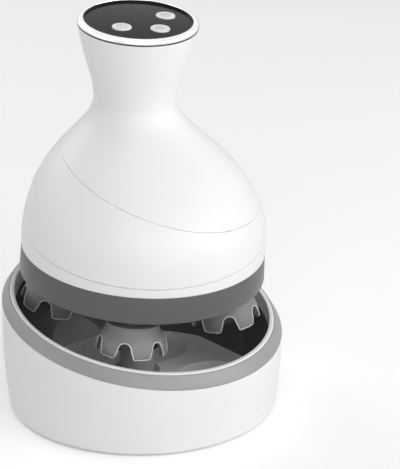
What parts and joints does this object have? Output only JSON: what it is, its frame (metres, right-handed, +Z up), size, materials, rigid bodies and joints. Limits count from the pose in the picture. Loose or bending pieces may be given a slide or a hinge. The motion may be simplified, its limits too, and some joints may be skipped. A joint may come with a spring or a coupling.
{
  "type": "electric scalp massager",
  "caption": "Waisted bell-shaped cordless scalp massager with turning clawed heads and top buttons, standing on a charging post in a round dock with a sloping rim.",
  "frame": {"origin": "centre of the dock's underside, on the surface it stands on", "axes": "+Z up along the dock's axis; -Y towards the dock's low front rim; the sloping seams give it a left (-X) and a right (+X)"},
  "size_m": [0.1342, 0.1342, 0.1939],
  "materials": {
    "gloss_white": "glossy white moulded plastic",
    "satin_grey": "satin mid grey moulded plastic",
    "band_grey": "satin grey moulded plastic",
    "dark_grey": "satin dark grey moulded plastic",
    "silicone": "soft matt grey silicone",
    "seal_rubber": "matt black rubber",
    "chrome": "bright plated ring",
    "steel": "turned steel",
    "brass": "gold-plated contacts and turned brass",
    "nylon": "natural nylon",
    "gloss_black": "glossy black panel",
    "button_white": "white button caps",
    "board_green": "green solder-masked board",
    "battery_wrap": "shrink wrap over a steel can"
  },
  "bodies": {
    "dock": {"dock_shell": "gloss_white", "dock_bevel_band": "satin_grey", "dock_lip_ring": "gloss_white", "dock_liner": "dark_grey", "dock_floor_tray": "satin_grey", "charging_post": "satin_grey", "post_cap": "dark_grey", "charging_pins": "brass", "dock_circuit_board": "board_green", "inlet_socket": "steel", "dock_base_plate": "satin_grey", "dock_feet": "seal_rubber", "dock_screws": "steel"},
    "massager": {"upper_shell": "gloss_white", "lower_shell": "gloss_white", "trim_ring": "gloss_white", "grey_band": "band_grey", "underside_plate": "dark_grey", "underside_gasket": "seal_rubber", "underside_screws": "steel", "post_socket": "dark_grey", "socket_contacts": "brass", "gearbox_deck": "nylon", "gearbox_cover": "nylon", "sun_gear_axle": "steel", "shaft_seals": "seal_rubber", "motor_can": "steel", "motor_screws": "steel", "battery_cell": "battery_wrap", "battery_cradle": "nylon", "main_circuit_board": "board_green", "chrome_ring": "chrome", "control_panel": "gloss_black", "button_board": "board_green", "button_switches": "dark_grey"},
    "left_button": {"left_button": "button_white"},
    "front_button": {"front_button": "button_white"},
    "right_button": {"right_button": "button_white"},
    "sun_gear": {"sun_gear": "nylon"},
    "motor_rotor": {"motor_armature": "steel", "motor_pinion": "brass"},
    "front_right_head": {"front_right_head": "silicone", "front_right_shaft": "steel", "front_right_gear": "nylon"},
    "back_right_head": {"back_right_head": "silicone", "back_right_shaft": "steel", "back_right_gear": "nylon"},
    "back_left_head": {"back_left_head": "silicone", "back_left_shaft": "steel", "back_left_gear": "nylon"},
    "front_left_head": {"front_left_head": "silicone", "front_left_shaft": "steel", "front_left_gear": "nylon"}
  },
  "joints": [
    {"name": "massager_lift", "type": "slide", "parent": "dock", "child": "massager", "axis": [0, -0.0819, 0.9966], "range_m": [0, 0.12]},
    {"name": "left_button_press", "type": "slide", "parent": "massager", "child": "left_button", "axis": [0, 0.0819, -0.9966], "range_m": [0, 0.0005], "stiffness_N_per_m": 1000, "springref_m": -0.0005},
    {"name": "front_button_press", "type": "slide", "parent": "massager", "child": "front_button", "axis": [0, 0.0819, -0.9966], "range_m": [0, 0.0005], "stiffness_N_per_m": 1000, "springref_m": -0.0005},
    {"name": "right_button_press", "type": "slide", "parent": "massager", "child": "right_button", "axis": [0, 0.0819, -0.9966], "range_m": [0, 0.0005], "stiffness_N_per_m": 1000, "springref_m": -0.0005},
    {"name": "sun_gear_spin", "type": "hinge", "parent": "massager", "child": "sun_gear", "pos_m": [0, -0.00082, 0.07747], "axis": [0, -0.0819, 0.9966], "continuous": true},
    {"name": "motor_spin", "type": "hinge", "parent": "massager", "child": "motor_rotor", "pos_m": [-0.00262, -0.03061, 0.07502], "axis": [0, -0.0819, 0.9966], "continuous": true},
    {"name": "front_right_head_spin", "type": "hinge", "parent": "massager", "child": "front_right_head", "pos_m": [0.02304, -0.02835, 0.07724], "axis": [-0.1006, 0.0385, 0.9942], "continuous": true},
    {"name": "back_right_head_spin", "type": "hinge", "parent": "massager", "child": "back_right_head", "pos_m": [0.02746, 0.02197, 0.08138], "axis": [-0.1198, -0.1811, 0.9761], "continuous": true},
    {"name": "back_left_head_spin", "type": "hinge", "parent": "massager", "child": "back_left_head", "pos_m": [-0.02304, 0.02638, 0.08174], "axis": [0.1006, -0.2004, 0.9745], "continuous": true},
    {"name": "front_left_head_spin", "type": "hinge", "parent": "massager", "child": "front_left_head", "pos_m": [-0.02746, -0.02395, 0.07761], "axis": [0.1198, 0.0193, 0.9926], "continuous": true}
  ],
  "couplings": [
    {"joint": "motor_spin", "follows": "sun_gear_spin", "ratio": -3.2857},
    {"joint": "front_right_head_spin", "follows": "sun_gear_spin", "ratio": -1.7692},
    {"joint": "back_right_head_spin", "follows": "sun_gear_spin", "ratio": -1.7692},
    {"joint": "back_left_head_spin", "follows": "sun_gear_spin", "ratio": -1.7692},
    {"joint": "front_left_head_spin", "follows": "sun_gear_spin", "ratio": -1.7692}
  ]
}
